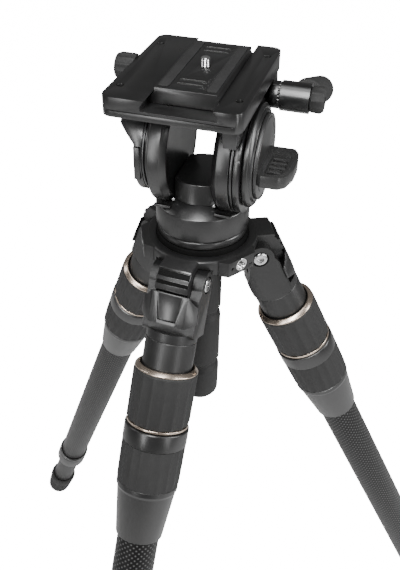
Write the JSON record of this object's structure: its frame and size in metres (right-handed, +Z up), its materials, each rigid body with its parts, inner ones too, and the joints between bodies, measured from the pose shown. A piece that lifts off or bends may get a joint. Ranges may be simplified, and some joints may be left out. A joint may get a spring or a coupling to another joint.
{
  "type": "video camera tripod with fluid head",
  "caption": "Video tripod: a 75 mm bowl spider with splayed, locking, telescoping carbon legs, a levelling half ball and a fluid head with sliding plate, drag dial, tilt lever and pan handle.",
  "frame": {"origin": "on the ground, in the middle of the outer box", "axes": "+Z up the tripod, -Y towards leg_a's foot, +X to the head's drag dial side"},
  "size_m": [0.6672, 0.5824, 0.8576],
  "materials": {
    "charcoal_anodised": "satin anodised, fine grain",
    "champagne_anodised": "satin anodised, polished edges",
    "black_rubber": "matte, fine grain",
    "black_plastic": "satin",
    "bright_steel": "turned, bright",
    "carbon_tube": "clear-coated twill weave"
  },
  "bodies": {
    "base": {"spider": "charcoal_anodised", "accessory_thread": "bright_steel", "bubble_level": "black_plastic"},
    "levelling": {"half_ball": "charcoal_anodised", "level_flange": "charcoal_anodised", "tie_down_washer": "bright_steel"},
    "tie_down": {"tie_down_handle": "black_rubber"},
    "pan": {"pan_housing": "charcoal_anodised", "tilt_drum_left": "charcoal_anodised", "tilt_drum_right": "charcoal_anodised", "tilt_axle_left": "bright_steel", "tilt_axle_right": "bright_steel"},
    "pan_lock": {"pan_lock_knob": "black_rubber"},
    "drag_adjust": {"drag_dial": "charcoal_anodised"},
    "tilt_lock": {"tilt_lever": "black_plastic"},
    "tilt": {"cradle_arm_left": "charcoal_anodised", "cradle_arm_right": "charcoal_anodised", "platform": "charcoal_anodised", "handle_bracket": "charcoal_anodised"},
    "plate": {"camera_plate": "charcoal_anodised"},
    "screw": {"camera_screw": "bright_steel"},
    "plate_lock": {"plate_lock_knob": "black_rubber"},
    "plate_release": {"plate_release_button": "black_plastic"},
    "pan_handle": {"handle_clamp": "charcoal_anodised", "pan_handle_bar": "carbon_tube", "pan_handle_grip": "black_rubber"},
    "handle_lock": {"handle_clamp_knob": "black_rubber"},
    "leg_a": {"leg_a_fork": "charcoal_anodised", "leg_a_hinge_pin": "bright_steel", "leg_a_lower_ring": "champagne_anodised", "leg_a_collar": "charcoal_anodised", "leg_a_upper_tube": "carbon_tube", "leg_a_tube_sleeve": "charcoal_anodised"},
    "leg_a_lock": {"leg_a_angle_lock": "charcoal_anodised"},
    "leg_a_grip": {"leg_a_twist_grip": "black_rubber", "leg_a_upper_ring": "champagne_anodised"},
    "leg_a_tube": {"leg_a_lower_tube": "carbon_tube", "leg_a_foot": "black_rubber"},
    "leg_b": {"leg_b_fork": "charcoal_anodised", "leg_b_hinge_pin": "bright_steel", "leg_b_lower_ring": "champagne_anodised", "leg_b_collar": "charcoal_anodised", "leg_b_upper_tube": "carbon_tube", "leg_b_tube_sleeve": "charcoal_anodised"},
    "leg_b_lock": {"leg_b_angle_lock": "charcoal_anodised"},
    "leg_b_grip": {"leg_b_twist_grip": "black_rubber", "leg_b_upper_ring": "champagne_anodised"},
    "leg_b_tube": {"leg_b_lower_tube": "carbon_tube", "leg_b_foot": "black_rubber"},
    "leg_c": {"leg_c_fork": "charcoal_anodised", "leg_c_hinge_pin": "bright_steel", "leg_c_lower_ring": "champagne_anodised", "leg_c_collar": "charcoal_anodised", "leg_c_upper_tube": "carbon_tube", "leg_c_tube_sleeve": "charcoal_anodised"},
    "leg_c_lock": {"leg_c_angle_lock": "charcoal_anodised"},
    "leg_c_grip": {"leg_c_twist_grip": "black_rubber", "leg_c_upper_ring": "champagne_anodised"},
    "leg_c_tube": {"leg_c_lower_tube": "carbon_tube", "leg_c_foot": "black_rubber"}
  },
  "joints": [
    {"name": "leg_a_fold", "type": "hinge", "parent": "base", "child": "leg_a", "pos_m": [0, 0.048, 0.70077], "axis": [-1, 0, 0], "range_deg": [-25.25, 57.75]},
    {"name": "leg_a_lock_slide", "type": "slide", "parent": "leg_a", "child": "leg_a_lock", "axis": [0, -0.4266, -0.9045], "range_m": [0, 0.0035], "stiffness_N_per_m": 1500, "springref_m": -0.002},
    {"name": "leg_a_grip_turn", "type": "hinge", "parent": "leg_a", "child": "leg_a_grip", "pos_m": [0, 0.048, 0.70077], "axis": [0, -0.4266, -0.9045], "range_deg": [0, 60]},
    {"name": "leg_a_extend", "type": "slide", "parent": "leg_a", "child": "leg_a_tube", "axis": [0, -0.4266, -0.9045], "range_m": [0, 0.38]},
    {"name": "leg_b_fold", "type": "hinge", "parent": "base", "child": "leg_b", "pos_m": [0.0375, 0.11295, 0.70077], "axis": [0.5, -0.866, 0], "range_deg": [-25.25, 57.75]},
    {"name": "leg_b_lock_slide", "type": "slide", "parent": "leg_b", "child": "leg_b_lock", "axis": [0.3694, 0.2133, -0.9045], "range_m": [0, 0.0035], "stiffness_N_per_m": 1500, "springref_m": -0.002},
    {"name": "leg_b_grip_turn", "type": "hinge", "parent": "leg_b", "child": "leg_b_grip", "pos_m": [0.0375, 0.11295, 0.70077], "axis": [0.3694, 0.2133, -0.9045], "range_deg": [0, 60]},
    {"name": "leg_b_extend", "type": "slide", "parent": "leg_b", "child": "leg_b_tube", "axis": [0.3694, 0.2133, -0.9045], "range_m": [0, 0.38]},
    {"name": "leg_c_fold", "type": "hinge", "parent": "base", "child": "leg_c", "pos_m": [-0.0375, 0.11295, 0.70077], "axis": [0.5, 0.866, 0], "range_deg": [-25.25, 57.75]},
    {"name": "leg_c_lock_slide", "type": "slide", "parent": "leg_c", "child": "leg_c_lock", "axis": [-0.3694, 0.2133, -0.9045], "range_m": [0, 0.0035], "stiffness_N_per_m": 1500, "springref_m": -0.002},
    {"name": "leg_c_grip_turn", "type": "hinge", "parent": "leg_c", "child": "leg_c_grip", "pos_m": [-0.0375, 0.11295, 0.70077], "axis": [-0.3694, 0.2133, -0.9045], "range_deg": [0, 60]},
    {"name": "leg_c_extend", "type": "slide", "parent": "leg_c", "child": "leg_c_tube", "axis": [-0.3694, 0.2133, -0.9045], "range_m": [0, 0.38]},
    {"name": "head_level", "type": "hinge", "parent": "base", "child": "levelling", "pos_m": [0, 0.0913, 0.71857], "axis": [1, 0, 0], "range_deg": [0, 8]},
    {"name": "tie_down_turn", "type": "hinge", "parent": "levelling", "child": "tie_down", "pos_m": [0, 0.0913, 0.71857], "axis": [0, 0, 1], "continuous": true},
    {"name": "pan_turn", "type": "hinge", "parent": "levelling", "child": "pan", "pos_m": [0, 0.0913, 0.71857], "axis": [0, 0, 1], "continuous": true},
    {"name": "pan_lock_turn", "type": "hinge", "parent": "pan", "child": "pan_lock", "pos_m": [0, 0.0913, 0.74007], "axis": [-0.2504, 0.9681, 0], "range_deg": [0, 180]},
    {"name": "drag_turn", "type": "hinge", "parent": "pan", "child": "drag_adjust", "pos_m": [0, 0.0913, 0.79067], "axis": [0.9969, 0.0785, 0], "range_deg": [0, 270]},
    {"name": "tilt_lever_turn", "type": "hinge", "parent": "pan", "child": "tilt_lock", "pos_m": [0, 0.0913, 0.79067], "axis": [0.9969, 0.0785, 0], "range_deg": [0, 60]},
    {"name": "tilt_turn", "type": "hinge", "parent": "pan", "child": "tilt", "pos_m": [0, 0.0913, 0.79067], "axis": [0.9969, 0.0785, 0], "range_deg": [-50, 75]},
    {"name": "plate_slide", "type": "slide", "parent": "tilt", "child": "plate", "axis": [-0.0785, 0.9969, 0], "range_m": [-0.015, 0.015]},
    {"name": "camera_screw_turn", "type": "hinge", "parent": "plate", "child": "screw", "pos_m": [0, 0.0913, 0.79067], "axis": [0, 0, 1], "continuous": true},
    {"name": "plate_lock_turn", "type": "hinge", "parent": "tilt", "child": "plate_lock", "pos_m": [-0.00078, 0.10127, 0.83957], "axis": [0.9969, 0.0785, 0], "range_deg": [0, 90]},
    {"name": "plate_release_slide", "type": "slide", "parent": "tilt", "child": "plate_release", "axis": [0.9969, 0.0785, 0], "range_m": [0, 0.002], "stiffness_N_per_m": 800, "springref_m": -0.002},
    {"name": "pan_handle_swing", "type": "hinge", "parent": "tilt", "child": "pan_handle", "pos_m": [-0.0033, 0.13317, 0.81957], "axis": [0.9969, 0.0785, 0], "range_deg": [0, 60]},
    {"name": "handle_lock_turn", "type": "hinge", "parent": "tilt", "child": "handle_lock", "pos_m": [-0.0033, 0.13317, 0.81957], "axis": [0.9969, 0.0785, 0], "continuous": true}
  ]
}
